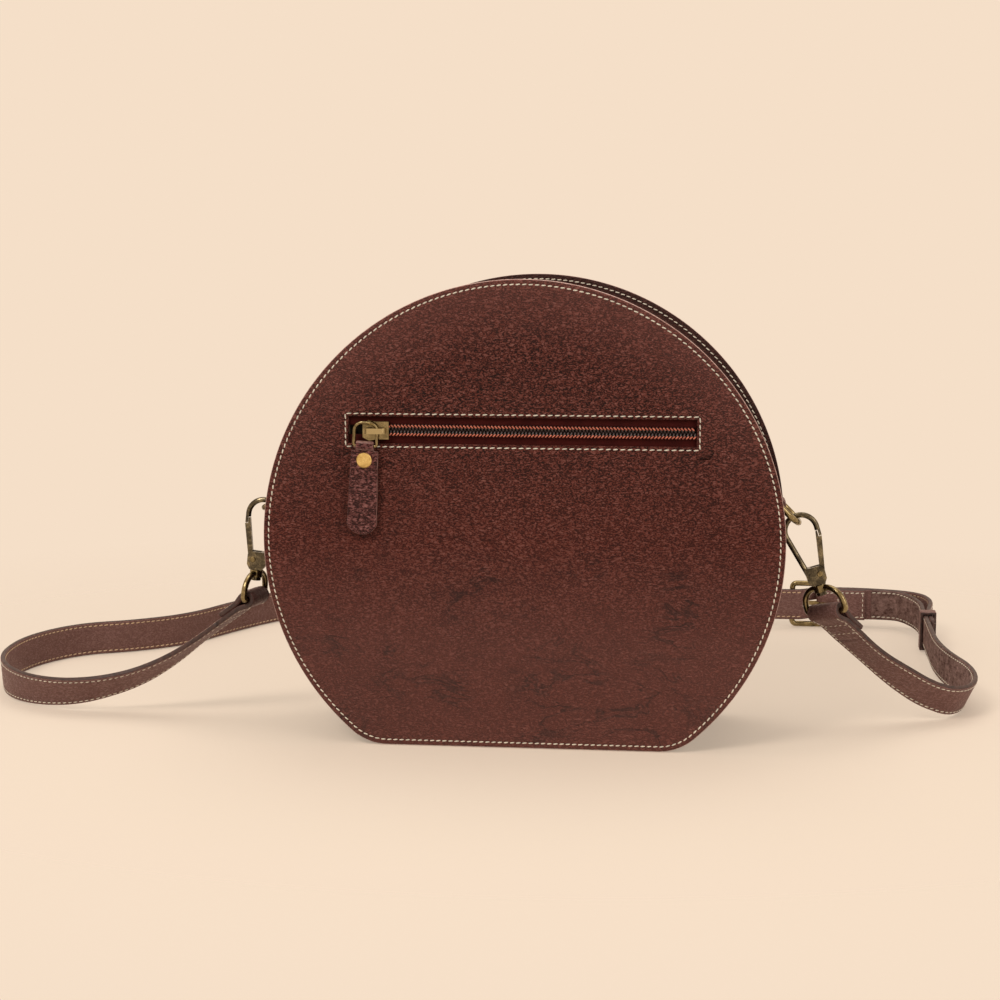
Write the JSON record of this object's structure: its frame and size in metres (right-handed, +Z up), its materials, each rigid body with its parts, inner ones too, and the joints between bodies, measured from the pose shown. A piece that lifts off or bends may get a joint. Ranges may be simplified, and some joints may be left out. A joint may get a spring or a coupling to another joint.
{
  "type": "circle bag",
  "caption": "Round leather crossbody bag with a flat base, zipped top, zipped face pocket and a buckled strap on swivel snap hooks.",
  "frame": {"origin": "middle of the flat base, on the surface that the bag stands on", "axes": "+X to the right when the zipped pocket faces the viewer, +Y to the plain face, +Z up"},
  "size_m": [0.5265, 0.3434, 0.225],
  "materials": {
    "leather": "dark reddish brown, pebbled",
    "board": "thin stiffening board",
    "lining": "plain woven cotton",
    "zip_tape": "woven tape",
    "zip_coil": "coppery nylon coil",
    "antique_brass": "antiqued, softly worn",
    "bright_brass": "polished",
    "spring_steel": "plain"
  },
  "bodies": {
    "bag": {"pocket_panel": "leather", "plain_panel": "leather", "panel_board_front": "board", "panel_board_rear": "board", "base_board": "board", "gusset_wall": "leather", "zip_strip_front": "leather", "zip_strip_rear": "leather", "lining_gusset": "lining", "lining_front": "lining", "lining_rear": "lining", "pocket_bag": "lining", "pocket_zip_tape_upper": "zip_tape", "pocket_zip_tape_lower": "zip_tape", "pocket_zip_coil_upper": "zip_coil", "pocket_zip_coil_lower": "zip_coil", "main_zip_tape_front": "zip_tape", "main_zip_coil_front": "zip_coil", "main_zip_tape_rear": "zip_tape", "main_zip_coil_rear": "zip_coil", "side_tab_left": "leather", "side_tab_right": "leather", "strap_long": "leather", "strap_short": "leather", "buckle_frame": "antique_brass"},
    "pocket_slider": {"pocket_zip_slider": "antique_brass"},
    "pocket_ring": {"pocket_zip_pull_ring": "antique_brass"},
    "pocket_pull": {"pocket_zip_pull_tab": "leather", "pocket_zip_pull_rivet": "bright_brass"},
    "main_slider": {"main_zip_slider": "antique_brass"},
    "main_ring": {"main_zip_pull_ring": "antique_brass"},
    "main_pull": {"main_zip_pull_tab": "leather", "main_zip_pull_rivet": "bright_brass"},
    "ring_left": {"d_ring_left": "antique_brass"},
    "ring_right": {"d_ring_right": "antique_brass"},
    "prong": {"buckle_prong": "antique_brass"},
    "keeper": {"strap_keeper": "leather"},
    "loop_left": {"swivel_loop_left": "antique_brass"},
    "hook_left": {"hook_body_left": "antique_brass", "gate_pin_left": "antique_brass", "gate_spring_left": "spring_steel"},
    "gate_left": {"hook_gate_left": "antique_brass"},
    "loop_right": {"swivel_loop_right": "antique_brass"},
    "hook_right": {"hook_body_right": "antique_brass", "gate_pin_right": "antique_brass", "gate_spring_right": "spring_steel"},
    "gate_right": {"hook_gate_right": "antique_brass"}
  },
  "joints": [
    {"name": "pocket_slider_travel", "type": "slide", "parent": "bag", "child": "pocket_slider", "axis": [1, 0, 0], "range_m": [0, 0.1386], "deforming": ["pocket_zip_coil_upper", "pocket_zip_coil_lower"]},
    {"name": "pocket_ring_swing", "type": "hinge", "parent": "pocket_slider", "child": "pocket_ring", "pos_m": [-0.06869, -0.0438, 0.14601], "axis": [0.0523, 0, 0.9986], "range_deg": [0, 90]},
    {"name": "pocket_pull_swing", "type": "hinge", "parent": "pocket_ring", "child": "pocket_pull", "pos_m": [-0.07418, -0.0438, 0.1463], "axis": [-0.9986, 0, 0.0523], "range_deg": [0, 90]},
    {"name": "main_slider_travel", "type": "hinge", "parent": "bag", "child": "main_slider", "pos_m": [0, 0, 0.1], "axis": [0, 1, 0], "range_deg": [0, 105.4], "deforming": ["main_zip_coil_front", "main_zip_coil_rear"]},
    {"name": "main_ring_swing", "type": "hinge", "parent": "main_slider", "child": "main_ring", "pos_m": [-0.0981, 0, 0.17445], "axis": [0, 1, 0], "range_deg": [0, 90]},
    {"name": "main_pull_swing", "type": "hinge", "parent": "main_ring", "child": "main_pull", "pos_m": [-0.10444, 0, 0.16546], "axis": [0, 1, 0], "range_deg": [0, 90]},
    {"name": "ring_left_swing", "type": "hinge", "parent": "bag", "child": "ring_left", "pos_m": [-0.12218, 0, 0.11543], "axis": [0, -1, 0], "range_deg": [0, 20]},
    {"name": "loop_left_swing", "type": "hinge", "parent": "bag", "child": "loop_left", "pos_m": [-0.1406, 0, 0.0636], "axis": [0.2065, 0.9781, -0.0239], "range_deg": [-2, 2]},
    {"name": "hook_left_swivel", "type": "hinge", "parent": "loop_left", "child": "hook_left", "pos_m": [-0.1406, 0, 0.0636], "axis": [0.1149, 0, 0.9934], "range_deg": [-10, 10]},
    {"name": "gate_left_open", "type": "hinge", "parent": "hook_left", "child": "gate_left", "pos_m": [-0.14013, 0, 0.08328], "axis": [0, 1, 0], "range_deg": [0, 25], "stiffness_Nm_per_rad": 0.02, "springref_deg": -14.32, "deforming": ["gate_spring_left"]},
    {"name": "ring_right_swing", "type": "hinge", "parent": "bag", "child": "ring_right", "pos_m": [0.12218, 0, 0.11543], "axis": [0, 1, 0], "range_deg": [0, 14]},
    {"name": "loop_right_swing", "type": "hinge", "parent": "bag", "child": "loop_right", "pos_m": [0.1463, 0, 0.062], "axis": [0.7326, -0.6428, 0.224], "range_deg": [-2, 2]},
    {"name": "hook_right_swivel", "type": "hinge", "parent": "loop_right", "child": "hook_right", "pos_m": [0.1463, 0, 0.062], "axis": [-0.2924, 0, 0.9563], "range_deg": [-10, 10]},
    {"name": "gate_right_open", "type": "hinge", "parent": "hook_right", "child": "gate_right", "pos_m": [0.14229, 0, 0.08128], "axis": [0, -1, 0], "range_deg": [0, 25], "stiffness_Nm_per_rad": 0.02, "springref_deg": -14.32, "deforming": ["gate_spring_right"]},
    {"name": "prong_lift", "type": "hinge", "parent": "bag", "child": "prong", "pos_m": [0.155, 0.266, 0.0145], "axis": [0, 0, -1], "range_deg": [0, 6]},
    {"name": "keeper_slide", "type": "slide", "parent": "bag", "child": "keeper", "axis": [0, -1, 0], "range_m": [0, 0.012]}
  ]
}
